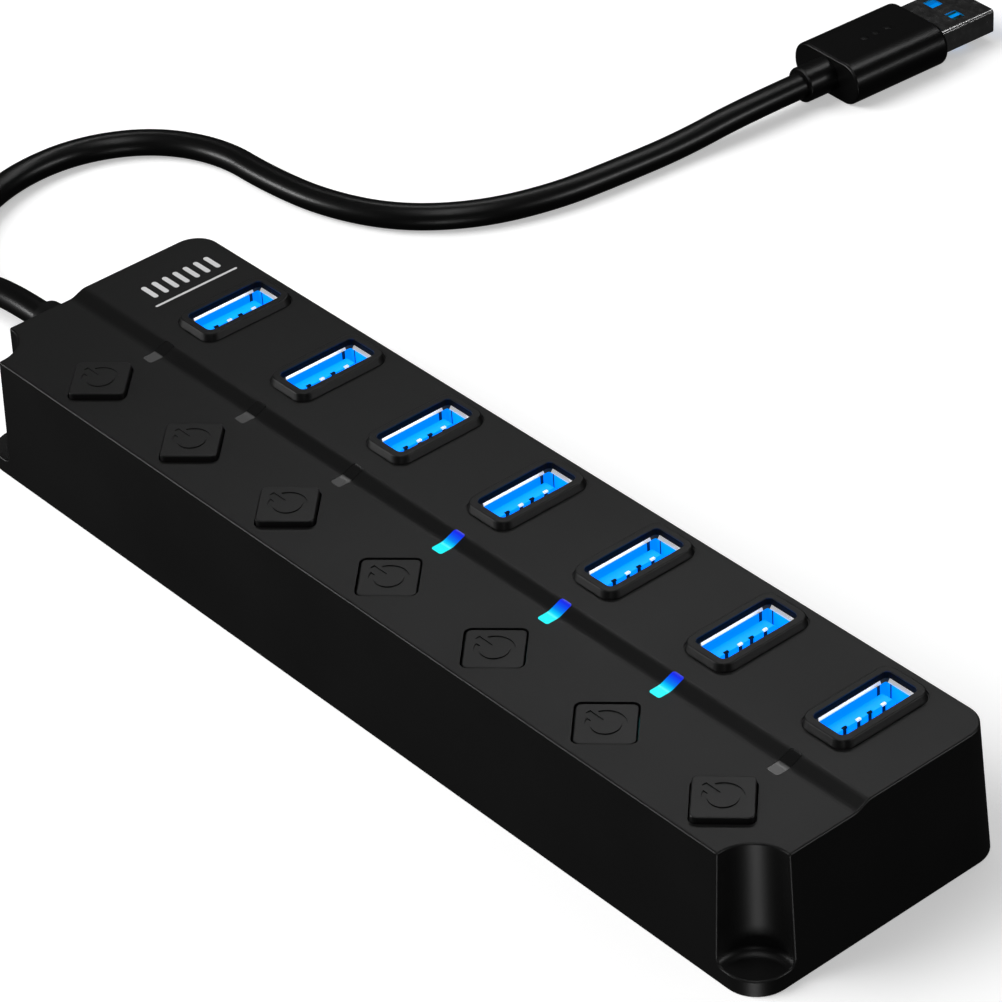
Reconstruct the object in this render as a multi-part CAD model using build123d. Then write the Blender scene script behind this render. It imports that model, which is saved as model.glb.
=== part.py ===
from build123d import *
import os
from math import atan2, degrees, radians, tan

# A seven-port USB hub with one push switch and one indicator window per port.
# Millimetres. X runs along the hub (the cable leaves at -X), the ports lie on the +Y side,
# the buttons on the -Y side, and Z points up from the table. The origin is the centre of the base.

# --- Case -----------------------------------------------------------------------------------
case_length = 169.3            # outside, at the base
case_low_y, case_high_y = -21.95, 22.85                        # outside, at the base
case_corner = 5.0              # plan radius of the corners, at the base
skirt_z = 0.12                 # lower edge of the walls, just above the table
upper_deck_z = 21.3            # deck that carries the ports
lower_deck_z = 20.4            # deck that carries the buttons
wall_lean, port_wall_lean = 0.92, 1.82                         # inward, base to deck; +Y wall more
step_foot_y, step_top_y = -3.3, -1.1
step_blend = 2.6               # radius at the foot and at the top of the step
edge_round = 0.3
rim_x, rim_y = 75.0, 18.0      # edges further out than either of these are rounded off
beyond = 30.0                  # blanks and cutters run on this far, clear of the case
root = 0.5                     # how deep a fused feature starts inside its neighbour
inner_half_length, inner_half_width, inner_corner = 81.6, 19.6, 3.0
deck_thickness = 2.0
deck_break_y = 1.0             # the inside face of the decks steps here
under_decks = 15.0             # cuts through the decks start at this height
scallop_radius, scallop_floor_z, scallop_bottom_round = 5.95, 2.55, 1.2
scallop_x, scallop_y = 83.34, -20.67

# --- Columns: port, window and button of one channel share an X -------------------------------
channels = 7
pitch = 22.1
first_x = -61.95
column_x = [first_x + n * pitch for n in range(channels)]

# --- Ports (standard type A receptacle, standing upright) -------------------------------------
port_y = 11.1
bezel_top_z = 22.4
bezel_length, bezel_width, bezel_corner = 16.7, 8.9, 2.2       # foot of the bezel
bezel_lean, bezel_round = 0.45, 0.2
bezel_groove, groove_sink = 0.05, 0.15                         # fine joint line round the bezel
mouth_length, mouth_width, mouth_corner = 13.7, 5.92, 0.9
socket_length, socket_width = 12.5, 5.12                       # inside of the metal shell
shell_wall, shell_corner = 0.35, 0.6
shell_rim_z = 21.3
lip_height, lip_wall = 0.65, 0.07                              # flared lip of the shell
lip_length, lip_width = 13.6, 5.86                             # outside of the lip at its rim
lip_gap_x, lip_gap_y = 0.2, 0.75                               # lip missing beside each corner
lip_gap_depth = 1.0
slot_depth = 4.4               # relief slots in the -X and +Y walls, down from the lip
slot_y, slot_x = (4.5, 5.1), (-1.7, -1.4)
tongue_length, tongue_width, tongue_top_z = 11.1, 1.84, 20.2
tongue_gap = 0.7                                               # between tongue and -X wall
tongue_bevel = 0.7
groove_depth, groove_width = 0.45, 0.9
contact_y = [-3.5, -1.0, 1.0, 3.5]
contact_width, contact_thickness = 0.7, 0.25
contact_drop = 0.25            # contacts end this far below the tongue's top
insulator_foot, foot_gap, foot_corner = 2.2, 0.01, 0.35

# --- Buttons and latching switches ------------------------------------------------------------
button_y = -13.7
button_side, button_corner = 8.24, 0.9
button_hole_side = 8.72
button_edge_round = 0.2
button_height = 0.9            # raised button above the lower deck
latch_drop = 1.0               # a latched button stands this much lower
latched = (3, 4, 5)            # channels that are switched on
flange_side, flange_thickness, flange_corner = 9.6, 0.8, 1.2
flange_gap = 0.1               # between the raised button's flange and the deck
flange_reach = 5.5             # the flange is cut off this far from the button towards -Y
stem_side, stem_corner, plunger_side, plunger_corner = 4.6, 0.5, 3.0, 0.3
stem_reach, plunger_top, plunger_foot = 5.8, 4.0, 11.2       # depths below the button's face
switch_side, switch_corner, switch_height = 8.0, 0.4, 5.9
collar_side, collar_height = 5.0, 0.5
socket_gap, well_clearance, well_floor = 0.02, 0.1, 1.0
symbol_outer, symbol_inner, symbol_depth = 2.8, 2.05, 0.15
symbol_gap_width = 1.9         # opening in the ring, round the bar
symbol_bar_length, symbol_bar_width, symbol_bar_x = 2.7, 0.75, -2.15

# --- Indicator windows ------------------------------------------------------------------------
window_width = 2.05
window_low_y, window_high_y = -5.4, -0.85
window_corner, window_gap = 0.4, 0.05
pipe_flange_half, pipe_flange_margin, pipe_flange_thickness = 1.7, 0.6, 0.8
pipe_stem_side, pipe_stem_y = 1.8, -4.3
led_size = (1.25, 2.0, 0.8)
pipe_to_led = 0.2

# --- Inside -----------------------------------------------------------------------------------
board_top_z, board_thickness = 7.35, 1.6
board_half_length, board_half_width, board_corner = 81.0, 18.3, 1.5
cable_bay_length, cable_bay_width = 11.0, 10.6                 # cut into the board's -X end
board_scallop_clearance, board_hole_radius = 2.6, 1.6
controller_channels, controller_y, controller_size = (1, 4), 3.0, (7.0, 7.0, 0.9)
crystal_x, crystal_y, crystal_size = 9.8, -0.5, (3.2, 5.0, 1.0)
capacitor_y, capacitor_radius, capacitor_height = 14.0, 2.0, 5.4
resistor_x, resistor_y, resistor_size = (-3.0, -1.0, 1.0, 3.0), -12.0, (0.8, 1.6, 0.5)
lead_radius, lead_pitch, leads, lead_end_x = 0.35, 0.8, 5, -66.5
base_thickness, base_clearance = 2.0, 0.1
boss_places = [(x, y) for x in (-78.4, 78.4) for y in (-8.0, 13.0)]
boss_radius, pilot_radius, screw_radius = 3.0, 1.3, 1.25
boss_top_z, pilot_top_z, screw_tip_z = 19.4, 15.35, 13.85
screw_head_radius, screw_seat_radius, screw_hole_radius = 2.3, 2.5, 1.5
screw_head_low_z, screw_seat_z = 1.0, 2.5
screw_slot_length, screw_slot_width, screw_slot_depth = 2.8, 0.5, 0.6
foot_places = [(x, y) for x in (-66.0, 66.0) for y in (-13.5, 13.5)]
foot_radius, foot_height, foot_clearance = 4.5, 1.1, 0.05

# --- Cable, strain relief and plug ------------------------------------------------------------
cable_radius = 2.25
gland_z = 9.0
gland_flange_radius, gland_neck_radius, gland_hole_radius = 4.4, 3.5, 3.55
gland_shoulder_radius, gland_shoulder_length, gland_tip_radius = 4.2, 1.2, 3.1
gland_flange_x, gland_wall_x, gland_flange_gap, gland_bore_radius = -80.2, -84.4, 0.02, 2.27
gland_ribs, first_rib, rib_pitch, rib_gap = 4, 3.0, 2.4, 0.9
rib_core_radius, rib_core_taper, rib_half_height = 2.9, 0.12, 1.6
gland_tip_x = -97.0
tail_end_x = -76.0
plug_length, plug_width, plug_thickness, plug_side_round = 20.6, 16.2, 7.6, 3.6
plug_neck_radius, plug_neck_length = 3.1, 5.7
plug_back_round, plug_front_round = 0.4, 0.9
plug_place, plug_heading = (-71.6, 141.8, plug_thickness / 2), 87.0
plug_shell_width, plug_shell_thickness, plug_shell_corner = 12.0, 4.5, 0.6
plug_shell_wall, plug_shell_reach, plug_shell_root = 0.3, 12.0, 8.0
plug_shell_gap = 0.02
latch_window_length, latch_window_width = 2.3, 2.5
latch_window_y, latch_window_back = 2.75, 6.05
plug_insulator_half, plug_insulator_recess = 5.5, 0.3
plug_insulator_low, plug_insulator_top = -1.92, -0.02
plug_contact_half, plug_contact_thickness, plug_contact_ends = 0.5, 0.15, (9.0, 1.4)

arc_share = 0.45               # of the shorter run, taken up by each arc of the cable

# Points that the free cable follows: out of the strain relief, down to the table, round in a
# wide bend and along to the plug. Straight runs between them are joined by tangent arcs.
cable_route = [
    (gland_tip_x, 0.0, gland_z),
    (-107.5, 0.0, gland_z),
    (-119.0, 1.2, 4.6),
    (-131.0, 5.4, cable_radius),
    (-140.5, 14.4, cable_radius),
    (-145.6, 26.4, cable_radius),
    (-145.2, 39.4, cable_radius),
    (-138.6, 50.4, cable_radius),
    (-127.4, 56.2, cable_radius),
    (-114.4, 56.2, cable_radius),
    (-101.6, 58.0, cable_radius),
    (-89.8, 63.4, cable_radius),
    (-81.2, 73.2, cable_radius),
    (-76.6, 85.4, cable_radius),
    (-75.0, 98.0, cable_radius),
    (-73.9, 110.6, cable_radius),
    (-72.573, 123.226, plug_thickness / 2),
    (-71.898, 136.108, plug_thickness / 2),
]


def block(x_low, x_high, y_low, y_high, z_low, z_high):
    """Plain block between two corners."""
    size = (x_high - x_low, y_high - y_low, z_high - z_low)
    middle = ((x_low + x_high) / 2, (y_low + y_high) / 2, (z_low + z_high) / 2)
    return Pos(*middle) * Box(*size)


def rounded_block(x, y, x_size, y_size, corner, z_low, z_high, turn=0.0, lean=0.0):
    """Upright block with rounded corners; its walls lean in by lean over its height."""
    outline = Location((x, y, z_low), (0, 0, turn)) * RectangleRounded(x_size, y_size, corner)
    height = z_high - z_low
    return extrude(outline, amount=height, taper=degrees(atan2(lean, height)))


def post(x, y, radius, z_low, z_high):
    """Upright round post."""
    return Pos(x, y, (z_low + z_high) / 2) * Cylinder(radius, z_high - z_low)


def below_decks():
    """Everything under the two decks and the sloped step between them."""
    corners = [
        (-beyond, -beyond), (-beyond, lower_deck_z), (step_foot_y, lower_deck_z),
        (step_top_y, upper_deck_z), (beyond, upper_deck_z), (beyond, -beyond),
    ]
    section = Plane.YZ * make_face(Polyline(*corners, close=True))
    bends = section.vertices().filter_by(lambda v: v.Z > 0 and abs(v.Y) < inner_half_width)
    return extrude(fillet(bends, step_blend), amount=case_length, both=True)


def inner_outline(clearance):
    """Plan of the case's inside, which steps round the two scalloped corners."""
    outline = RectangleRounded(
        2 * (inner_half_length - clearance), 2 * (inner_half_width - clearance), inner_corner
    )
    for side in (-1, 1):
        outline -= Pos(side * scallop_x, scallop_y) * Circle(scallop_radius + 2.0 + clearance)
    return outline


def walls_block():
    """Blank of the case: rounded outline at the base, ruled up to a smaller one at the deck."""
    high_y = case_high_y - port_wall_lean
    low_y = case_low_y + wall_lean
    foot = Pos(0, (case_high_y + case_low_y) / 2, skirt_z) * RectangleRounded(
        case_length, case_high_y - case_low_y, case_corner
    )
    deck = Pos(0, (high_y + low_y) / 2, upper_deck_z) * RectangleRounded(
        case_length - 2 * wall_lean, high_y - low_y, case_corner - wall_lean
    )
    return loft([foot.face(), deck.face()], ruled=True)


def scallop(side):
    """Round-bottomed cutter for the finger scallop at one -Y corner."""
    cutter = post(side * scallop_x, scallop_y, scallop_radius, scallop_floor_z, beyond)
    return fillet(cutter.edges().group_by(Axis.Z)[0], scallop_bottom_round)


def is_sharp_edge(solid):
    """Filter for edges whose two faces meet at a clear angle."""
    def sharp(edge):
        faces = [f for f in solid.faces() if any(edge.is_same(e) for e in f.edges())]
        if len(faces) != 2:
            return False
        middle = edge.position_at(0.5)
        first, second = (f.normal_at(middle) for f in faces)
        return first.get_angle(second) > 30
    return sharp


def make_top_shell():
    """Case top: leaning walls, two decks, bezels round the ports, scalloped -Y corners."""
    shell = walls_block() & below_decks()
    shell -= scallop(-1) + scallop(1)
    rim = shell.edges().filter_by(
        lambda e: e.center().Z > scallop_floor_z - 0.1
        and (abs(e.center().X) > rim_x or abs(e.center().Y) > rim_y)
    )
    shell = fillet(rim.filter_by(is_sharp_edge(shell)), edge_round)

    for x in column_x:
        shell -= rounded_block(
            x, port_y, bezel_width + 2 * bezel_groove, bezel_length + 2 * bezel_groove,
            bezel_corner, upper_deck_z - groove_sink, beyond,
        )
        bezel = rounded_block(
            x, port_y, bezel_width, bezel_length, bezel_corner,
            upper_deck_z - root, bezel_top_z, lean=bezel_lean,
        )
        shell += fillet(bezel.edges().group_by(Axis.Z)[-1], bezel_round)

    cavity = extrude(inner_outline(0), amount=upper_deck_z - deck_thickness)
    cavity -= block(
        -case_length, case_length, -beyond, deck_break_y, lower_deck_z - deck_thickness, beyond
    )
    shell -= cavity
    for x, y in boss_places:
        shell += post(x, y, boss_radius, board_top_z, boss_top_z)
        shell -= post(x, y, pilot_radius, 0, pilot_top_z)

    hole_corner = button_corner + (button_hole_side - button_side) / 2
    for x in column_x:
        mouth = rounded_block(x, port_y, mouth_width, mouth_length, mouth_corner, under_decks, beyond)
        hole = rounded_block(
            x, button_y, button_hole_side, button_hole_side, hole_corner, under_decks, beyond, turn=45
        )
        shell -= mouth + hole + window_block(x, window_gap, under_decks)
    return shell - along_x(-beyond - case_length / 2, tail_end_x, 0, gland_z, gland_hole_radius)


def window_block(x, gap, z_low):
    """Upright block in the plan of one indicator window, grown by gap."""
    return rounded_block(
        x, (window_low_y + window_high_y) / 2, window_width + 2 * gap,
        window_high_y - window_low_y + 2 * gap, window_corner, z_low, beyond,
    )


def make_light_pipe(x):
    """Clear window flush with the decks, with a flange below and a stem down to its diode."""
    flange_top = lower_deck_z - deck_thickness - flange_gap
    flange_low = flange_top - pipe_flange_thickness
    pipe = window_block(x, 0, flange_top) & below_decks()
    pipe += block(
        x - pipe_flange_half, x + pipe_flange_half,
        window_low_y - pipe_flange_margin, window_high_y + pipe_flange_margin, flange_low, flange_top,
    )
    half = pipe_stem_side / 2
    led_top = board_top_z + led_size[2]
    return pipe + block(
        x - half, x + half, pipe_stem_y - half, pipe_stem_y + half, led_top + pipe_to_led, flange_low
    )


def power_symbol(z):
    """Shallow cutter in the shape of the usual on-off symbol, its bar towards -X."""
    ring = Circle(symbol_outer) - Circle(symbol_inner)
    ring -= Pos(-symbol_outer, 0) * Rectangle(symbol_outer, symbol_gap_width)
    bar = Pos(symbol_bar_x, 0) * Rectangle(symbol_bar_length, symbol_bar_width)
    return Pos(0, 0, z - symbol_depth) * extrude(ring + bar, amount=1)


def button_top_z(channel):
    """Height of a button's face, raised or latched."""
    return lower_deck_z + button_height - (latch_drop if channel in latched else 0)


def make_button_cap(x, top_z):
    """Square cap turned 45 degrees, with a retaining flange and a socketed stem."""
    flange_top = top_z - button_height - deck_thickness - flange_gap
    flange_low = flange_top - flange_thickness
    cap = rounded_block(x, button_y, button_side, button_side, button_corner, flange_low, top_z, turn=45)
    cap = fillet(cap.edges().group_by(Axis.Z)[-1], button_edge_round)
    flange = rounded_block(
        x, button_y, flange_side, flange_side, flange_corner, flange_low, flange_top, turn=45
    )
    cap += flange - block(
        x - flange_side, x + flange_side, -beyond, button_y - flange_reach, flange_low, flange_top
    )
    cap += rounded_block(
        x, button_y, stem_side, stem_side, stem_corner, top_z - stem_reach, flange_top
    )
    socket_side = plunger_side + 2 * socket_gap
    cap -= rounded_block(
        x, button_y, socket_side, socket_side, plunger_corner, 0, top_z - plunger_top
    )
    return cap - Pos(x, button_y, 0) * power_symbol(top_z)


def make_plunger(x, top_z):
    """Square plunger of the latching switch, pushed up into the cap's stem."""
    return rounded_block(
        x, button_y, plunger_side, plunger_side, plunger_corner, top_z - plunger_foot, top_z - plunger_top
    )


def make_switch_body(x):
    """Box of the latching switch, with the well that its plunger slides in."""
    top = board_top_z + switch_height
    body = rounded_block(x, button_y, switch_side, switch_side, switch_corner, board_top_z, top)
    collar = rounded_block(
        x, button_y, collar_side, collar_side, stem_corner, top - root, top + collar_height
    )
    well_side = plunger_side + 2 * well_clearance
    well = rounded_block(
        x, button_y, well_side, well_side, plunger_corner, board_top_z + well_floor, beyond
    )
    return body + collar - well


def funnel(x, z_low, size_low, z_high, size_high):
    """Upright block over a port whose section grows from one (x, y) size to another."""
    low = Location((x, port_y, z_low)) * Rectangle(*size_low)
    high = Location((x, port_y, z_high)) * Rectangle(*size_high)
    return loft([low.face(), high.face()])


def make_port_shell(x):
    """Folded metal tube of one receptacle: flared lip open at its corners, two relief slots."""
    width, length = socket_width + 2 * shell_wall, socket_length + 2 * shell_wall
    lip_foot_z = shell_rim_z - lip_height
    shell = rounded_block(x, port_y, width, length, shell_corner, board_top_z, lip_foot_z)
    shell += funnel(x, lip_foot_z, (width, length), shell_rim_z, (lip_width, lip_length))
    shell -= rounded_block(
        x, port_y, socket_width, socket_length, shell_corner - shell_wall, 0, lip_foot_z
    )
    shell -= funnel(
        x, lip_foot_z, (socket_width, socket_length),
        shell_rim_z, (lip_width - 2 * lip_wall, lip_length - 2 * lip_wall),
    )
    gap_x, gap_y = socket_width / 2 - lip_gap_x, socket_length / 2 - lip_gap_y
    for x_side in (-1, 1):
        for y_side in (-1, 1):
            corner = Pos(x + x_side * gap_x, port_y + y_side * gap_y, shell_rim_z - lip_gap_depth)
            align = [Align.MIN if side > 0 else Align.MAX for side in (x_side, y_side)]
            shell -= corner * Box(width, length, length, align=(*align, Align.MIN))
    slot_low = lip_foot_z - slot_depth
    shell -= block(x - width, x, port_y + slot_y[0], port_y + slot_y[1], slot_low, lip_foot_z)
    return shell - block(x + slot_x[0], x + slot_x[1], port_y, port_y + length, slot_low, lip_foot_z)


def make_port_insulator(x):
    """Foot that closes the shell and the contact tongue that stands on it."""
    foot_top = board_top_z + insulator_foot
    foot = rounded_block(
        x, port_y, socket_width - 2 * foot_gap, socket_length - 2 * foot_gap, foot_corner,
        board_top_z, foot_top,
    )
    tongue_x = x - socket_width / 2 + tongue_gap + tongue_width / 2
    half, shoulder_z = tongue_length / 2, tongue_top_z - tongue_bevel
    profile = [
        (-half, board_top_z), (-half, shoulder_z), (tongue_bevel - half, tongue_top_z),
        (half - tongue_bevel, tongue_top_z), (half, shoulder_z), (half, board_top_z),
    ]
    side = Plane.YZ * make_face(Polyline(*profile, close=True))
    body = foot + Pos(tongue_x, port_y, 0) * extrude(side, amount=tongue_width / 2, both=True)
    face_x, half = tongue_x + tongue_width / 2, groove_width / 2
    for y in contact_y:
        body -= block(
            face_x - groove_depth, face_x + root, port_y + y - half, port_y + y + half, foot_top, beyond
        )
    return body


def make_port_contacts():
    """Four spring contacts in the grooves of every tongue."""
    half = contact_width / 2
    low, high = board_top_z + insulator_foot, tongue_top_z - contact_drop
    contacts = []
    for x in column_x:
        back_x = x - socket_width / 2 + tongue_gap + tongue_width - groove_depth
        for y in contact_y:
            contacts.append(
                block(back_x, back_x + contact_thickness, port_y + y - half, port_y + y + half, low, high)
            )
    return Compound(contacts)


def make_base_plate():
    """Inset floor with posts under the board, screw counterbores and pockets for the feet."""
    top = skirt_z + base_thickness
    board_bottom = board_top_z - board_thickness
    plate = Pos(0, 0, skirt_z) * extrude(inner_outline(base_clearance), amount=base_thickness)
    for x, y in boss_places:
        plate += post(x, y, boss_radius, top - root, board_bottom)
        plate -= post(x, y, screw_hole_radius, 0, beyond) + post(x, y, screw_seat_radius, 0, screw_seat_z)
    for x, y in foot_places:
        plate -= post(x, y, foot_radius + foot_clearance, 0, foot_height)
    return plate


def make_case_screws():
    """Four pan-head screws that hold base, board and top together."""
    recess = 2 * screw_slot_depth
    screws = []
    for x, y in boss_places:
        screw = post(x, y, screw_head_radius, screw_head_low_z, screw_seat_z)
        screw += post(x, y, screw_radius, screw_seat_z - root, screw_tip_z)
        for size in ((screw_slot_length, screw_slot_width), (screw_slot_width, screw_slot_length)):
            screw -= Pos(x, y, screw_head_low_z) * Box(*size, recess)
        screws.append(screw)
    return Compound(screws)


def make_circuit_board():
    """Board with screw holes, cut away round the scallops and where the cable comes in."""
    outline = RectangleRounded(2 * board_half_length, 2 * board_half_width, board_corner)
    outline -= Pos(-board_half_length, 0) * Rectangle(2 * cable_bay_length, cable_bay_width)
    for side in (-1, 1):
        outline -= Pos(side * scallop_x, scallop_y) * Circle(scallop_radius + board_scallop_clearance)
    for x, y in boss_places:
        outline -= Pos(x, y) * Circle(board_hole_radius)
    return Pos(0, 0, board_top_z - board_thickness) * extrude(outline, amount=board_thickness)


def on_board(x, y, size):
    """A square-edged component standing on the board."""
    return Pos(x, y, board_top_z) * Box(*size, align=(Align.CENTER, Align.CENTER, Align.MIN))


def make_board_components():
    """Buffer capacitors, small resistors and the clock crystal."""
    items = [on_board(crystal_x, crystal_y, crystal_size)]
    for x in column_x[:-1]:
        middle = x + pitch / 2
        capacitor_top = board_top_z + capacitor_height
        items.append(post(middle, capacitor_y, capacitor_radius, board_top_z, capacitor_top))
        items += [on_board(middle + offset, resistor_y, resistor_size) for offset in resistor_x]
    return Compound(items)


def make_cable_gland():
    """Moulded strain relief: inner flange, neck in the end wall, ribbed taper outside."""
    wall_x, inside_x = gland_wall_x, -inner_half_length + gland_flange_gap
    half_profile = [
        (gland_flange_x, gland_bore_radius), (gland_flange_x, gland_flange_radius),
        (inside_x, gland_flange_radius), (inside_x, gland_neck_radius), (wall_x, gland_neck_radius),
        (wall_x, gland_shoulder_radius), (wall_x - gland_shoulder_length, gland_shoulder_radius),
        (gland_tip_x, gland_tip_radius), (gland_tip_x, gland_bore_radius),
    ]
    gland = revolve(Plane.XZ * make_face(Polyline(*half_profile, close=True)), Axis.X)
    for n in range(gland_ribs):
        rib_x = wall_x - first_rib - rib_pitch * n
        core = along_x(rib_x - rib_gap, rib_x + rib_gap, 0, 0, rib_core_radius - rib_core_taper * n)
        slot = block(
            rib_x - rib_gap / 2, rib_x + rib_gap / 2, -beyond, beyond, -rib_half_height, rib_half_height
        )
        gland -= slot - core
    return Pos(0, 0, gland_z) * gland


def along_x(x_low, x_high, y, z, radius):
    """Round bar along X."""
    return Pos((x_low + x_high) / 2, y, z) * Rot(0, 90, 0) * Cylinder(radius, x_high - x_low)


def make_cable():
    """Free cable: straight runs joined by the largest tangent arcs that they allow."""
    points = [Vector(*p) for p in cable_route]
    radii = []
    for before, here, after in zip(points, points[1:], points[2:]):
        turn = radians((here - before).get_angle(after - here))
        shorter = min((here - before).length, (after - here).length)
        radii.append(arc_share * shorter / tan(turn / 2))
    print("cable radii", [round(r, 1) for r in radii])
    path = FilletPolyline(*points, radius=radii)
    tube = sweep(Plane(path @ 0, z_dir=path % 0) * Circle(cable_radius), path=path)
    section = Circle(cable_radius).area
    print("cable length", round(path.length, 1), "volume ratio", round(tube.volume / section / path.length, 4))
    return tube


def at_plug(shape):
    """Moves a piece from the plug's own frame, +X towards its mouth, to its place."""
    return Location(plug_place, (0, 0, plug_heading)) * shape


def plug_bar(width, thickness, corner, x_low, x_high):
    """Bar along the plug with a rounded section."""
    section = Plane.YZ.offset(x_low) * RectangleRounded(width, thickness, corner)
    return extrude(section, amount=x_high - x_low)


def make_plug_overmould():
    """Grip of the plug with its neck, hollow at the front for the metal shell."""
    grip = plug_bar(plug_width, plug_thickness, plug_side_round, 0, plug_length)
    grip = fillet(grip.faces().sort_by(Axis.X)[0].edges(), plug_back_round)
    grip = fillet(grip.faces().sort_by(Axis.X)[-1].edges(), plug_front_round)
    neck = along_x(-plug_neck_length, root, 0, 0, plug_neck_radius)
    neck = fillet(neck.edges().sort_by(Axis.X)[0], edge_round)
    socket = plug_bar(
        plug_shell_width + 2 * plug_shell_gap, plug_shell_thickness + 2 * plug_shell_gap,
        plug_shell_corner + plug_shell_gap, plug_length - plug_shell_root, plug_length + root,
    )
    return at_plug(grip + neck - socket)


def make_plug_shell():
    """Metal shell of the plug, with the four square latching windows."""
    back, mouth = plug_length - plug_shell_root, plug_length + plug_shell_reach
    tube = plug_bar(plug_shell_width, plug_shell_thickness, plug_shell_corner, back, mouth)
    tube -= plug_bar(
        plug_shell_width - 2 * plug_shell_wall, plug_shell_thickness - 2 * plug_shell_wall,
        plug_shell_corner - plug_shell_wall, back, mouth,
    )
    window = Box(latch_window_length, latch_window_width, plug_thickness)
    for side in (-1, 1):
        tube -= Pos(mouth - latch_window_back, side * latch_window_y, 0) * window
    return at_plug(tube)


def make_plug_insulator():
    """Insulator that fills the lower half of the plug's shell."""
    mouth = plug_length + plug_shell_reach
    return at_plug(block(
        plug_length - plug_shell_root, mouth - plug_insulator_recess,
        -plug_insulator_half, plug_insulator_half, plug_insulator_low, plug_insulator_top,
    ))


def make_plug_contacts():
    """Four flat contacts on the insulator."""
    back, front = (plug_length + plug_shell_reach - distance for distance in plug_contact_ends)
    half, top = plug_contact_half, plug_insulator_top + plug_contact_thickness
    strips = [block(back, front, y - half, y + half, plug_insulator_top, top) for y in contact_y]
    return at_plug(Compound(strips))


def make_cable_leads():
    """Insulated leads from the end of the jacket to the board, side by side."""
    z = board_top_z + lead_radius
    places = [(n - (leads - 1) / 2) * lead_pitch for n in range(leads)]
    return Compound([along_x(tail_end_x, lead_end_x, y, z, lead_radius) for y in places])


nodes = {
    "top_shell": make_top_shell(),
    "base_plate": make_base_plate(),
    "rubber_feet": Compound([post(x, y, foot_radius, 0, foot_height) for x, y in foot_places]),
    "case_screws": make_case_screws(),
    "circuit_board": make_circuit_board(),
    "hub_controllers": Compound([
        on_board(column_x[n] + pitch / 2, controller_y, controller_size) for n in controller_channels
    ]),
    "board_components": make_board_components(),
    "status_leds": Compound([on_board(x, pipe_stem_y, led_size) for x in column_x]),
    "port_contacts": make_port_contacts(),
    "cable_leads": make_cable_leads(),
    "cable_tail": along_x(gland_tip_x, tail_end_x, 0, gland_z, cable_radius),
    "cable_gland": make_cable_gland(),
    "cable": make_cable(),
    "plug_overmould": make_plug_overmould(),
    "plug_shell": make_plug_shell(),
    "plug_insulator": make_plug_insulator(),
    "plug_contacts": make_plug_contacts(),
}
for channel, x in enumerate(column_x):
    number = channel + 1
    top_z = button_top_z(channel)
    nodes[f"port_shell_{number}"] = make_port_shell(x)
    nodes[f"port_insulator_{number}"] = make_port_insulator(x)
    nodes[f"button_cap_{number}"] = make_button_cap(x, top_z)
    nodes[f"switch_plunger_{number}"] = make_plunger(x, top_z)
    nodes[f"switch_body_{number}"] = make_switch_body(x)
    nodes[f"light_pipe_{number}"] = make_light_pipe(x)

os.makedirs("parts", exist_ok=True)
for name, shape in nodes.items():
    export_step(shape, f"parts/{name}.step")
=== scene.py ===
"""Looks of the seven-port USB hub: camera, light, floor, cable, materials and the fine pieces.

Metres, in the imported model's frame: X along the hub, ports towards +Y, Z up from the table.
"""
from math import cos, pi, radians, sin

import bmesh
import bpy
from mathutils import Matrix, Vector


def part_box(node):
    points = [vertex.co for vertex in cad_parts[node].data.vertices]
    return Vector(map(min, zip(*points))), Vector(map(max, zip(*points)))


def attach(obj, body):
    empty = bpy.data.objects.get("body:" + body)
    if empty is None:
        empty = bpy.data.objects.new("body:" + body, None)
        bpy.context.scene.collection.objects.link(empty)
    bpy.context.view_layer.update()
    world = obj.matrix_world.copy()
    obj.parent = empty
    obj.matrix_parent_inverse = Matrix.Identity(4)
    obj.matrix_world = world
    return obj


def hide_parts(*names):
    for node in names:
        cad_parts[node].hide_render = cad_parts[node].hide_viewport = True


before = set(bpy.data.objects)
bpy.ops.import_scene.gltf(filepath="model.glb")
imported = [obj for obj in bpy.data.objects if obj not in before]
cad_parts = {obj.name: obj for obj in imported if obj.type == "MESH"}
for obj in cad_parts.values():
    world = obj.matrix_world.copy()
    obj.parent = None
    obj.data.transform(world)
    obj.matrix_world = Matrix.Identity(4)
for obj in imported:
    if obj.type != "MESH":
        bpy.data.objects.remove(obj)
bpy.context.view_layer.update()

MM = 0.001
CHANNELS = range(1, 8)
MIDDLE_CHANNEL = 4
LIT_CHANNELS = (4, 5, 6)


# --- Camera ---------------------------------------------------------------------------------

CAMERA_AZIMUTH, CAMERA_ELEVATION, CAMERA_ROLL = radians(51.79), radians(35.50), radians(-3.92)
CAMERA_PLACE = Vector((0.37059, -0.281825, 0.355229))
CAMERA_LENS, CAMERA_SENSOR = 149.85, 36.0
CAMERA_CLIP = (0.01, 50.0)


def add_camera():
    """Long lens beyond the +X end, on the buttons' side, a little rolled, looking down."""
    back = Vector((
        sin(CAMERA_AZIMUTH) * cos(CAMERA_ELEVATION),
        -cos(CAMERA_AZIMUTH) * cos(CAMERA_ELEVATION),
        sin(CAMERA_ELEVATION),
    ))
    level = (-back).cross(Vector((0, 0, 1))).normalized()
    upright = level.cross(-back)
    right = cos(CAMERA_ROLL) * level + sin(CAMERA_ROLL) * upright
    up = cos(CAMERA_ROLL) * upright - sin(CAMERA_ROLL) * level
    data = bpy.data.cameras.new("camera")
    data.sensor_width = CAMERA_SENSOR
    data.lens = CAMERA_LENS
    data.clip_start, data.clip_end = CAMERA_CLIP
    camera = bpy.data.objects.new("camera", data)
    bpy.context.scene.collection.objects.link(camera)
    turn = Matrix((right, up, back)).transposed().to_4x4()
    camera.matrix_world = Matrix.Translation(CAMERA_PLACE) @ turn
    bpy.context.scene.camera = camera


# --- Light and floor --------------------------------------------------------------------------

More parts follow.
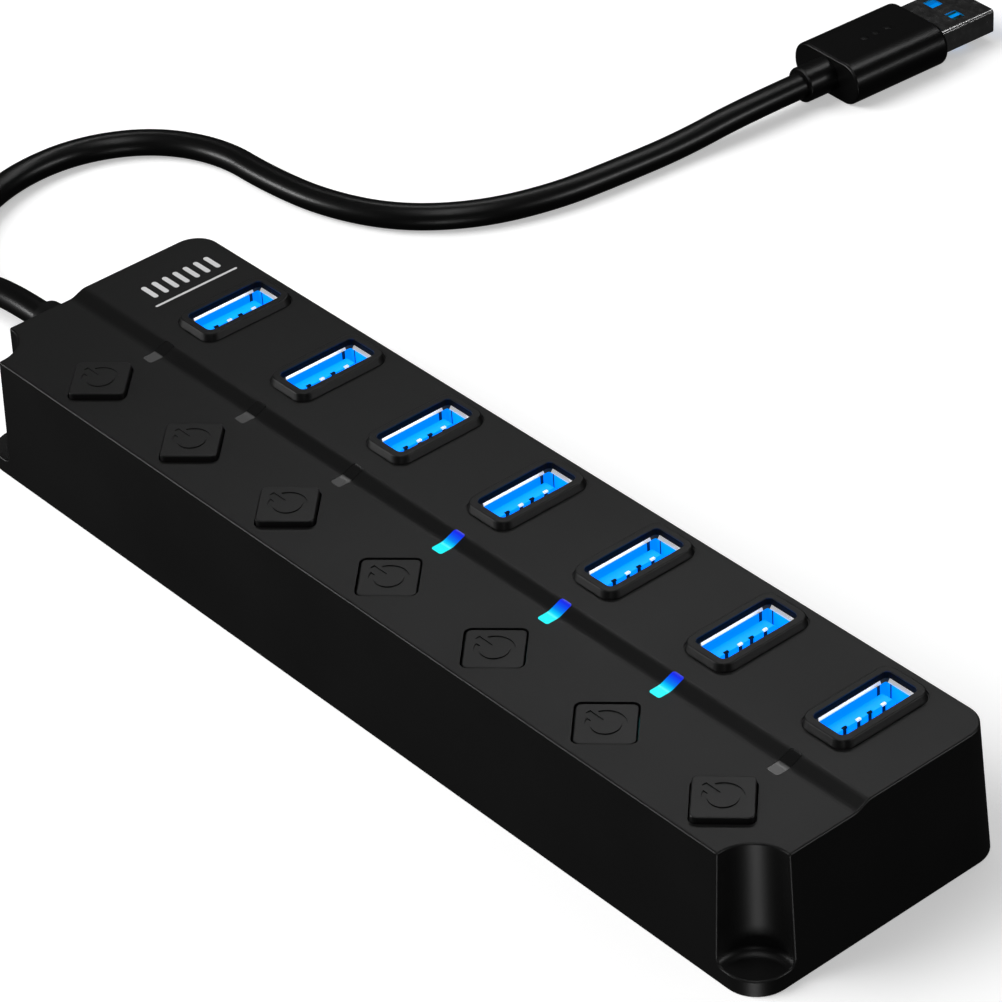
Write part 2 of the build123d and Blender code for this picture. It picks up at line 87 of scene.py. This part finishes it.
def add_softbox(name, place, target, size, power, mirrored=True, scattered=True):
    """Rectangular soft light at place, facing target; it may skip gloss or matt shading."""
    data = bpy.data.lights.new(name, "AREA")
    data.shape = "RECTANGLE"
    data.size, data.size_y = size
    data.energy = power
    light = bpy.data.objects.new(name, data)
    bpy.context.scene.collection.objects.link(light)
    light.location = place
    light.rotation_mode = "QUATERNION"
    light.rotation_quaternion = (Vector(target) - Vector(place)).to_track_quat("-Z", "Y")
    light.visible_camera = False
    light.visible_glossy = mirrored
    light.visible_diffuse = scattered
    return light


HUB_MIDDLE = (0.0, 0.0, 0.01)
DECK_MIDDLE = (0.03, 0.0, 0.02)
NEAR_CORNER = (0.083, -0.020, 0.012)
CABLE_MIDDLE = (-0.10, 0.07, 0.0)


def add_lights():
    """Overhead key, a softbox that the decks mirror, and small lights that only gloss mirrors."""
    add_softbox(
        "key_softbox", (-0.50, -0.60, 0.80), HUB_MIDDLE, (0.80, 0.80), 12.5, mirrored=False,
    )
    add_softbox("deck_softbox", (-0.182, 0.327, 0.430), DECK_MIDDLE, (0.536, 0.05), 0.390)
    for name, place, target, size, power in (
        ("left_strip", (-0.51, -0.60, 0.125), HUB_MIDDLE, (0.40, 0.10), 2.0),
        ("right_strip", (0.51, 0.31, 0.16), HUB_MIDDLE, (0.30, 0.08), 0.58),
        ("cable_strip", (0.13, -0.11, 0.63), CABLE_MIDDLE, (0.05, 0.50), 0.55),
        ("front_strip", (0.50, -0.39, 0.02), HUB_MIDDLE, (0.05, 0.12), 0.10),
        ("table_glow", (0.209, -0.180, -0.135), NEAR_CORNER, (0.08, 0.06), 0.082),
    ):
        add_softbox(name, place, target, size, power, scattered=False)


GLOSS_STRENGTH, FILL_STRENGTH, SHOWN_STRENGTH = 0.015, 0.17, 1.0


def add_world():
    """Surroundings: white to the camera, a soft even fill for matt shading, dark to gloss."""
    world = bpy.data.worlds.new("surroundings")
    bpy.context.scene.world = world
    world.use_nodes = True
    tree = world.node_tree
    tree.nodes.clear()
    path = tree.nodes.new("ShaderNodeLightPath")
    output = tree.nodes.new("ShaderNodeOutputWorld")
    shown = None
    for ray, strength in (
        (None, GLOSS_STRENGTH),
        ("Is Diffuse Ray", FILL_STRENGTH),
        ("Is Camera Ray", SHOWN_STRENGTH),
    ):
        background = tree.nodes.new("ShaderNodeBackground")
        background.inputs["Color"].default_value = (1, 1, 1, 1)
        background.inputs["Strength"].default_value = strength
        if ray is None:
            shown = background.outputs["Background"]
            continue
        mix = tree.nodes.new("ShaderNodeMixShader")
        tree.links.new(path.outputs[ray], mix.inputs["Fac"])
        tree.links.new(shown, mix.inputs[1])
        tree.links.new(background.outputs["Background"], mix.inputs[2])
        shown = mix.outputs["Shader"]
    tree.links.new(shown, output.inputs["Surface"])


FLOOR_HALF = 4.0
FLOOR_TONE, FLOOR_GLOW = 0.79, 0.43


def add_floor():
    """Plain pale floor under the feet, seen by the camera but not mirrored in the case."""
    half = FLOOR_HALF
    mesh = bpy.data.meshes.new("floor")
    corners = [(-half, -half, 0), (half, -half, 0), (half, half, 0), (-half, half, 0)]
    mesh.from_pydata(corners, [], [(0, 1, 2, 3)])
    floor = bpy.data.objects.new("floor", mesh)
    bpy.context.scene.collection.objects.link(floor)
    material, tree, shader = new_material("floor_paper")
    shader.inputs["Base Color"].default_value = (*grey(FLOOR_TONE), 1)
    shader.inputs["Roughness"].default_value = 0.9
    shader.inputs["Specular IOR Level"].default_value = 0.0
    shader.inputs["Emission Color"].default_value = (1, 1, 1, 1)
    shader.inputs["Emission Strength"].default_value = FLOOR_GLOW
    mesh.materials.append(material)
    floor.visible_diffuse = False
    floor.visible_glossy = False
    floor.visible_shadow = False


# --- Materials --------------------------------------------------------------------------------

def new_material(name):
    """Empty node material: itself, its tree and its main shader."""
    material = bpy.data.materials.new(name)
    material.use_nodes = True
    tree = material.node_tree
    return material, tree, tree.nodes["Principled BSDF"]


def noise(tree, scale, detail=2.0):
    """Noise that sits in the part's own frame; scale is features per metre."""
    place = tree.nodes.new("ShaderNodeTexCoord")
    node = tree.nodes.new("ShaderNodeTexNoise")
    node.inputs["Scale"].default_value = scale
    node.inputs["Detail"].default_value = detail
    tree.links.new(place.outputs["Object"], node.inputs["Vector"])
    return node.outputs["Fac"]


def spread(tree, value, low, high):
    """Maps the middle half of a 0 to 1 noise to low..high."""
    node = tree.nodes.new("ShaderNodeMapRange")
    node.inputs["From Min"].default_value = 0.25
    node.inputs["From Max"].default_value = 0.75
    node.inputs["To Min"].default_value = low
    node.inputs["To Max"].default_value = high
    tree.links.new(value, node.inputs["Value"])
    return node.outputs["Result"]


def tint(tree, value, dark, light):
    """Colour between dark and light, as the noise says."""
    node = tree.nodes.new("ShaderNodeMix")
    node.data_type = "RGBA"
    node.inputs["A"].default_value = (*dark, 1)
    node.inputs["B"].default_value = (*light, 1)
    tree.links.new(spread(tree, value, 0.0, 1.0), node.inputs["Factor"])
    return node.outputs["Result"]


def grain_bump(tree, shader, scale, depth):
    """Fine surface grain of that depth in metres."""
    bump = tree.nodes.new("ShaderNodeBump")
    bump.inputs["Strength"].default_value = 1.0
    bump.inputs["Distance"].default_value = depth
    tree.links.new(noise(tree, scale, 1.0), bump.inputs["Height"])
    tree.links.new(bump.outputs["Normal"], shader.inputs["Normal"])


PLASTIC_GLOSS_SPREAD, PLATING_GLOSS_SPREAD = 0.03, 0.06


def moulded(name, dark, light, roughness, grain=2600.0, depth=0.000004, specular=0.5):
    """Moulded plastic or rubber: faint mottle, uneven gloss and a fine spark-eroded grain."""
    material, tree, shader = new_material(name)
    mottle = noise(tree, 90.0, 4.0)
    tree.links.new(tint(tree, mottle, dark, light), shader.inputs["Base Color"])
    spread_by = PLASTIC_GLOSS_SPREAD
    gloss = spread(tree, noise(tree, 35.0, 3.0), roughness - spread_by, roughness + spread_by)
    tree.links.new(gloss, shader.inputs["Roughness"])
    shader.inputs["Specular IOR Level"].default_value = specular
    grain_bump(tree, shader, grain, depth)
    return material


def glowing_blue(name, colour, glow):
    """Blue insulator plastic with a painted glow: an even self-lit brightness that stands in for
    the light falling into the port.
    """
    material, tree, shader = new_material(name)
    deep = tuple(0.9 * part for part in colour)
    tree.links.new(tint(tree, noise(tree, 250.0, 3.0), deep, colour), shader.inputs["Base Color"])
    shader.inputs["Roughness"].default_value = 0.35
    shader.inputs["Specular IOR Level"].default_value = 0.2
    # Painted glow: emission in the insulator's own blue.
    shader.inputs["Emission Color"].default_value = (*colour, 1)
    shader.inputs["Emission Strength"].default_value = glow
    grain_bump(tree, shader, 2000.0, 0.000002)
    return material


def plated(name, dark, light, roughness, glow=0.0):
    """Plated sheet metal with faint rolling marks; glow is a painted reflection, an even self-lit
    brightness in place of a bright room it would mirror.
    """
    material, tree, shader = new_material(name)
    tree.links.new(tint(tree, noise(tree, 300.0, 3.0), dark, light), shader.inputs["Base Color"])
    shader.inputs["Metallic"].default_value = 1.0
    spread_by = PLATING_GLOSS_SPREAD
    gloss = spread(tree, noise(tree, 900.0), roughness - spread_by, roughness + spread_by)
    tree.links.new(gloss, shader.inputs["Roughness"])
    # Painted reflection: glow is emission, not lamp light.
    shader.inputs["Emission Color"].default_value = (1, 1, 1, 1)
    shader.inputs["Emission Strength"].default_value = glow
    grain_bump(tree, shader, 1500.0, 0.000001)
    return material


WINDOW_SMOKE = [(0.47, (0.070, 0.070, 0.070)), (0.51, (0.007, 0.007, 0.007))]
WINDOW_GLOW = [
    (0.40, (0.004, 0.92, 0.95)),
    (0.50, (0.000, 0.62, 0.97)),
    (0.60, (0.000, 0.22, 0.90)),
    (0.71, (0.002, 0.085, 0.93)),
    (0.82, (0.006, 0.020, 0.86)),
    (0.90, (0.022, 0.040, 0.62)),
]


def across_window(tree, stops):
    """Colours over a window from its low flat end, up the step, to its high end."""
    place = tree.nodes.new("ShaderNodeTexCoord")
    axes = tree.nodes.new("ShaderNodeSeparateXYZ")
    tree.links.new(place.outputs["Generated"], axes.inputs["Vector"])
    ramp = tree.nodes.new("ShaderNodeValToRGB")
    colours = ramp.color_ramp.elements
    colours[0].position, colours[1].position = stops[0][0], stops[-1][0]
    colours[0].color, colours[1].color = (*stops[0][1], 1), (*stops[-1][1], 1)
    for position, colour in stops[1:-1]:
        colours.new(position).color = (*colour, 1)
    tree.links.new(axes.outputs["Y"], ramp.inputs["Fac"])
    return ramp.outputs["Color"]


def window(name, lit):
    """Light guide: smoky plastic, paler on its flat end, or lit from there, cyan to deep blue."""
    material, tree, shader = new_material(name)
    shader.inputs["Roughness"].default_value = 0.22
    grain_bump(tree, shader, 1200.0, 0.000002)
    if lit:
        smoke = tint(tree, noise(tree, 400.0), grey(0.002), grey(0.004))
        tree.links.new(smoke, shader.inputs["Base Color"])
        tree.links.new(across_window(tree, WINDOW_GLOW), shader.inputs["Emission Color"])
        shader.inputs["Emission Strength"].default_value = 1.0
    else:
        tree.links.new(across_window(tree, WINDOW_SMOKE), shader.inputs["Base Color"])
    return material


def grey(value):
    """Neutral colour."""
    return (value, value, value)


def make_finishes():
    """A material for each of the record's slots, and those that some pieces wear instead."""
    return {
        "case_black": moulded("case_plastic", grey(0.0038), grey(0.0048), 0.42),
        "mouth_black": moulded("mouth_plastic", grey(0.0030), grey(0.0040), 0.6, specular=0.08),
        "base_black": moulded("base_plastic", grey(0.0045), grey(0.0055), 0.55),
        "foot_rubber": moulded("foot_rubber", grey(0.012), grey(0.017), 0.8, grain=1500.0),
        "screw_steel": plated("screw_steel", grey(0.42), grey(0.52), 0.35),
        "board_green": moulded("solder_mask", (0.004, 0.05, 0.018), (0.006, 0.065, 0.025), 0.35),
        "chip_black": moulded("chip_epoxy", grey(0.012), grey(0.016), 0.6),
        "component_grey": plated("component_cans", grey(0.5), grey(0.62), 0.4),
        "led_white": moulded("diode_body", grey(0.70), grey(0.78), 0.35),
        "contact_gold": plated("contact_gold", (0.80, 0.56, 0.22), (0.90, 0.66, 0.30), 0.25),
        "lead_copper": moulded("lead_insulation", (0.30, 0.02, 0.015), (0.36, 0.03, 0.02), 0.4),
        "cable_jacket": moulded("cable_jacket", grey(0.0026), grey(0.0034), 0.33, grain=1800.0),
        "strain_relief": moulded("strain_relief", grey(0.0045), grey(0.0055), 0.42),
        "plug_grip": moulded("plug_grip", grey(0.0028), grey(0.0036), 0.29),
        "plug_metal": plated("plug_shell", grey(0.62), grey(0.72), 0.22),
        # The port shell's glow is a painted reflection.
        "port_metal": plated("port_shell", grey(0.80), grey(0.90), 0.38, glow=0.45),
        # contact_tin's glow is a painted highlight on the contact tips.
        "contact_tin": plated("contact_tin", grey(0.80), grey(0.90), 0.38, glow=0.6),
        # contact_shade is painted shade: near-black plating where the contacts lie in shade.
        "contact_shade": plated("contact_in_shade", grey(0.02), grey(0.03), 0.5),
        # The port and liner blues glow with painted light; the insulator is no lamp.
        "port_blue": glowing_blue("port_blue", (0.0, 0.365, 1.0), 0.60),
        "liner_blue": glowing_blue("liner_blue", (0.0, 0.33, 1.0), 0.50),
        "button_black": moulded("button_plastic", grey(0.0042), grey(0.0052), 0.42, specular=0.6),
        "switch_black": moulded("switch_housing", grey(0.02), grey(0.025), 0.5),
        "plunger_white": moulded("plunger_acetal", grey(0.62), grey(0.70), 0.4),
        "window_clear": window("window_off", lit=False),
        "window_lit": window("window_lit", lit=True),
        "print_white": moulded("print_white", grey(0.60), grey(0.70), 0.5),
    }


def finish_nodes(finishes):
    """Gives every CAD node the finish of its slot; three windows are lit, the contacts shaded."""
    special = {f"light_pipe_{channel}": "window_lit" for channel in LIT_CHANNELS}
    # The gold contacts are painted dark as shade.
    special["port_contacts"] = "contact_shade"
    for name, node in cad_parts.items():
        for place in node.material_slots:
            place.material = finishes[special.get(name, place.material.name.split(".")[0])]


# --- Cable -------------------------------------------------------------------------------------

CABLE_DIAMETER = 0.0045
CABLE_ROUTE = [
    (-0.0970, 0.0, 0.0090),
    (-0.1075, 0.0, 0.0090),
    (-0.1190, 0.0012, 0.0046),
    (-0.1310, 0.0054, 0.00225),
    (-0.1405, 0.0144, 0.00225),
    (-0.1456, 0.0264, 0.00225),
    (-0.1452, 0.0394, 0.00225),
    (-0.1386, 0.0504, 0.00225),
    (-0.1274, 0.0562, 0.00225),
    (-0.1144, 0.0562, 0.00225),
    (-0.1016, 0.0580, 0.00225),
    (-0.0898, 0.0634, 0.00225),
    (-0.0812, 0.0732, 0.00225),
    (-0.0766, 0.0854, 0.00225),
    (-0.0750, 0.0980, 0.00225),
    (-0.0739, 0.1106, 0.00225),
    (-0.072573, 0.123226, 0.0038),
    (-0.071898, 0.136108, 0.0038),
]


def make_cable(finishes):
    """Free cable: one smooth round cord from the strain relief to the plug."""
    data = bpy.data.curves.new("usb_cable", "CURVE")
    data.dimensions = "3D"
    data.bevel_depth = CABLE_DIAMETER / 2
    data.bevel_resolution = 8
    spline = data.splines.new("NURBS")
    spline.points.add(len(CABLE_ROUTE) - 1)
    for point, place in zip(spline.points, CABLE_ROUTE):
        point.co = (*place, 1.0)
    spline.order_u = 3
    spline.use_endpoint_u = True
    spline.resolution_u = 12
    data.materials.append(finishes["cable_jacket"])
    cable = bpy.data.objects.new("usb_cable", data)
    bpy.context.scene.collection.objects.link(cable)
    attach(cable, "case")
    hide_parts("cable")


# --- Fine pieces --------------------------------------------------------------------------------

def add_piece(name, mesh, finish):
    """Puts a finished mesh in the scene, riding the case."""
    data = bpy.data.meshes.new(name)
    bmesh.ops.recalc_face_normals(mesh, faces=mesh.faces)
    mesh.to_mesh(data)
    mesh.free()
    data.materials.append(finish)
    piece = bpy.data.objects.new(name, data)
    bpy.context.scene.collection.objects.link(piece)
    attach(piece, "case")
    return piece


def rounded_outline(x_half, y_half, corner, steps=5):
    """Outline of a rounded rectangle about the origin, counter-clockwise from +X."""
    points = []
    for quarter, (x_side, y_side) in enumerate(((1, 1), (-1, 1), (-1, -1), (1, -1))):
        for step in range(steps + 1):
            turn = (quarter + step / steps) * pi / 2
            points.append((
                x_side * (x_half - corner) + corner * cos(turn),
                y_side * (y_half - corner) + corner * sin(turn),
            ))
    return points


def add_tube(mesh, rings, closed):
    """Skins matching rings of points in order; closed joins the last ring to the first."""
    rows = [[mesh.verts.new(point) for point in ring] for ring in rings]
    for low, high in zip(rows, rows[1:] + rows[:1] if closed else rows[1:]):
        for k in range(len(low)):
            after = (k + 1) % len(low)
            mesh.faces.new((low[k], low[after], high[after], high[k]))
    return rows


RIM_BEND = 0.3


def add_plate(mesh, outline, middle, z_low, z_high, rim):
    """Flat plate on an outline, its top edge rounded off by rim."""
    rings = []
    for z, inset in (
        (z_low, 0.0),
        (z_high - rim, 0.0),
        (z_high - RIM_BEND * rim, RIM_BEND * rim),
        (z_high, rim),
    ):
        ring = []
        for x, y in outline:
            inward = Vector((x, y)).normalized() * inset
            ring.append((middle.x + x - inward.x, middle.y + y - inward.y, z))
        rings.append(ring)
    rows = add_tube(mesh, rings, closed=False)
    mesh.faces.new(rows[0])
    mesh.faces.new(rows[-1])


SOCKET_HALF_X, SOCKET_HALF_Y = 2.56 * MM, 6.25 * MM
LINER_CLEARANCE, LINER_WALL, LINER_CORNER = 0.02 * MM, 0.1 * MM, 0.3 * MM
LINER_RIM_DROP, LINER_FOOT = 0.24 * MM, 2.4 * MM
SLOT_Y, SLOT_X = (4.5 * MM, 5.1 * MM), (-1.7 * MM, -1.4 * MM)


def liner_runs(inset):
    """Plan of the lining, set in by inset: one run round three corners, one round the fourth."""
    x_half, y_half = SOCKET_HALF_X - inset, SOCKET_HALF_Y - inset
    outline = rounded_outline(x_half, y_half, LINER_CORNER)
    quarter = len(outline) // 4
    three_corners = [*outline[2 * quarter:], *outline[:quarter]]
    long_run = [(-x_half, SLOT_Y[0]), *three_corners, (SLOT_X[1], y_half)]
    short_run = [(SLOT_X[0], y_half), *outline[quarter:2 * quarter], (-x_half, SLOT_Y[1])]
    return long_run, short_run


def make_port_liner(channel, finishes):
    """Blue lining of one socket, open where the metal shell has its two relief slots."""
    low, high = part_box(f"port_shell_{channel}")
    middle = (low + high) / 2
    z_low, z_high = low.z + LINER_FOOT, high.z - LINER_RIM_DROP
    mesh = bmesh.new()
    outer_runs = liner_runs(LINER_CLEARANCE)
    inner_runs = liner_runs(LINER_CLEARANCE + LINER_WALL)
    for run_out, run_in in zip(outer_runs, inner_runs):
        rings = []
        for (x_out, y_out), (x_in, y_in) in zip(run_out, run_in):
            outer, inner = (middle.x + x_out, middle.y + y_out), (middle.x + x_in, middle.y + y_in)
            rings.append([(*outer, z_low), (*inner, z_low), (*inner, z_high), (*outer, z_high)])
        rows = add_tube(mesh, rings, closed=False)
        mesh.faces.new(rows[0])
        mesh.faces.new(rows[-1])
    add_piece(f"port_liner_{channel}", mesh, finishes["liner_blue"])


MOUTH_HALF_X, MOUTH_HALF_Y, MOUTH_CORNER = 2.96 * MM, 6.85 * MM, 0.9 * MM
COLLAR_GAP, COLLAR_THICKNESS = 0.001 * MM, 0.02 * MM
COLLAR_TOP_DROP, COLLAR_FOOT_RISE = 0.15 * MM, 0.02 * MM


def make_mouth_collars(finishes):
    """Thin matt facing on the inside of every bezel, from the metal lip to the rim."""
    mesh = bmesh.new()
    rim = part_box("top_shell")[1].z
    outer = rounded_outline(MOUTH_HALF_X - COLLAR_GAP, MOUTH_HALF_Y - COLLAR_GAP, MOUTH_CORNER)
    inner = rounded_outline(
        MOUTH_HALF_X - COLLAR_THICKNESS,
        MOUTH_HALF_Y - COLLAR_THICKNESS,
        MOUTH_CORNER - COLLAR_THICKNESS,
    )
    for channel in CHANNELS:
        low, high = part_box(f"port_shell_{channel}")
        middle = (low + high) / 2
        z_low, z_high = high.z + COLLAR_FOOT_RISE, rim - COLLAR_TOP_DROP
        rings = []
        for outline, z in ((outer, z_low), (inner, z_low), (inner, z_high), (outer, z_high)):
            rings.append([(middle.x + x, middle.y + y, z) for x, y in outline])
        add_tube(mesh, rings, closed=True)
    add_piece("mouth_collars", mesh, finishes["mouth_black"])


# Tips at places 2 and 4 wear a painted highlight; at 1 and 3 dark plates of painted shade fill the
# notches.
HIGHLIGHT_TIPS_Y, SHADE_TIPS_Y = (-1.0 * MM, 3.5 * MM), (-3.5 * MM, 1.0 * MM)
TIP_X, TIP_HALF_X, TIP_HALF_Y = -0.25 * MM, 0.20 * MM, 0.38 * MM
TIP_CORNER, TIP_THICKNESS, TIP_PROUD = 0.06 * MM, 0.24 * MM, 0.02 * MM


def make_contact_tips(name, places, finish):
    """Bent-over ends of some of the four contacts in every tongue, all of one brightness per call:
    one set wears a painted highlight, the other is painted shade filling the notches.
    """
    mesh = bmesh.new()
    tip = rounded_outline(TIP_HALF_X, TIP_HALF_Y, TIP_CORNER)
    for channel in CHANNELS:
        low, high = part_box(f"port_insulator_{channel}")
        x, y = (low.x + high.x) / 2 + TIP_X, (low.y + high.y) / 2
        top = high.z + TIP_PROUD
        for place in places:
            add_plate(mesh, tip, Vector((x, y + place)), top - TIP_THICKNESS, top, TIP_CORNER / 2)
    add_piece(name, mesh, finish)


def make_slit_shades(finishes):
    """Dark upright strips of painted shade, seen through the two breaks in every lining."""
    mesh = bmesh.new()
    x_half, y_half = SOCKET_HALF_X - LINER_CLEARANCE, SOCKET_HALF_Y - LINER_CLEARANCE
    thick = LINER_WALL / 2
    corner = thick / 4
    for channel in CHANNELS:
        low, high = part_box(f"port_shell_{channel}")
        middle = (low + high) / 2
        z_low, z_high = low.z + LINER_FOOT, high.z - LINER_RIM_DROP
        # Painted shade: dark strips stand in for the shade inside the breaks.
        long_slit = rounded_outline(thick / 2, (SLOT_Y[1] - SLOT_Y[0]) / 2, corner)
        place = Vector((middle.x - x_half + thick / 2, middle.y + sum(SLOT_Y) / 2))
        add_plate(mesh, long_slit, place, z_low, z_high, corner)
        short_slit = rounded_outline((SLOT_X[1] - SLOT_X[0]) / 2, thick / 2, corner)
        place = Vector((middle.x + sum(SLOT_X) / 2, middle.y + y_half - thick / 2))
        add_plate(mesh, short_slit, place, z_low, z_high, corner)
    add_piece("slit_shades", mesh, finishes["switch_black"])


PRINT_THICKNESS = 0.02 * MM
BAR_HALF_LENGTH, BAR_HALF_WIDTH, BAR_PITCH = 1.9 * MM, 0.42 * MM, 1.95 * MM
BARS_TO_END, BAR_CORNER, UNDERLINE_CORNER = 9.3 * MM, 0.4 * MM, 0.2 * MM
UNDERLINE_TO_BARS, UNDERLINE_HALF_LENGTH, UNDERLINE_HALF_WIDTH = 3.9 * MM, 7.6 * MM, 0.22 * MM


def make_deck_print(finishes):
    """White print beyond port 1: one bar for each port over a thin line, and no lettering."""
    shell_low, shell_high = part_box("port_shell_1")
    deck = shell_high.z
    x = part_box("top_shell")[0].x + BARS_TO_END
    y = (shell_low.y + shell_high.y) / 2
    mesh = bmesh.new()
    bar = rounded_outline(BAR_HALF_LENGTH, BAR_HALF_WIDTH, BAR_CORNER)
    for channel in CHANNELS:
        middle = Vector((x, y + (channel - MIDDLE_CHANNEL) * BAR_PITCH))
        add_plate(mesh, bar, middle, deck, deck + PRINT_THICKNESS, PRINT_THICKNESS / 2)
    line = rounded_outline(UNDERLINE_HALF_WIDTH, UNDERLINE_HALF_LENGTH, UNDERLINE_CORNER)
    middle = Vector((x + UNDERLINE_TO_BARS, y))
    add_plate(mesh, line, middle, deck, deck + PRINT_THICKNESS, PRINT_THICKNESS / 2)
    add_piece("deck_print", mesh, finishes["print_white"])


DOT_RADIUS, DOT_HEIGHT, DOT_PITCH = 0.75 * MM, 0.12 * MM, 2.6 * MM
DOT_COUNT, DOT_SIDES, DOT_SHIFT = 3, 24, 0.3
DOT_TURNS = (0.0, 0.3, 0.6, 0.85)
PLUG_HEADING = radians(87.0)


def make_grip_dots(finishes):
    """Three low domes in a row on the plug's upper face."""
    low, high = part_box("plug_overmould")
    middle = (low + high) / 2
    forward = Vector((cos(PLUG_HEADING), sin(PLUG_HEADING), 0.0))
    mesh = bmesh.new()
    for dot in range(DOT_COUNT):
        place = Vector((middle.x, middle.y, high.z)) + forward * (dot + DOT_SHIFT) * DOT_PITCH
        rings = []
        for turn in DOT_TURNS:
            radius, rise = DOT_RADIUS * cos(turn * pi / 2), DOT_HEIGHT * sin(turn * pi / 2)
            ring = []
            for k in range(DOT_SIDES):
                angle = k * pi / (DOT_SIDES / 2)
                ring.append((
                    place.x + radius * cos(angle), place.y + radius * sin(angle), place.z + rise,
                ))
            rings.append(ring)
        rows = add_tube(mesh, rings, closed=False)
        mesh.faces.new(rows[0])
        mesh.faces.new(rows[-1])
    add_piece("grip_dots", mesh, finishes["plug_grip"])


# --- Scene -------------------------------------------------------------------------------------

bpy.context.scene.view_settings.view_transform = "Standard"
add_camera()
add_world()
add_lights()
add_floor()
finishes = make_finishes()
finish_nodes(finishes)
make_cable(finishes)
for channel in CHANNELS:
    make_port_liner(channel, finishes)
make_contact_tips("contact_tip_highlights", HIGHLIGHT_TIPS_Y, finishes["contact_tin"])
make_contact_tips("contact_shades", SHADE_TIPS_Y, finishes["contact_shade"])
make_slit_shades(finishes)
make_mouth_collars(finishes)
make_deck_print(finishes)
make_grip_dots(finishes)
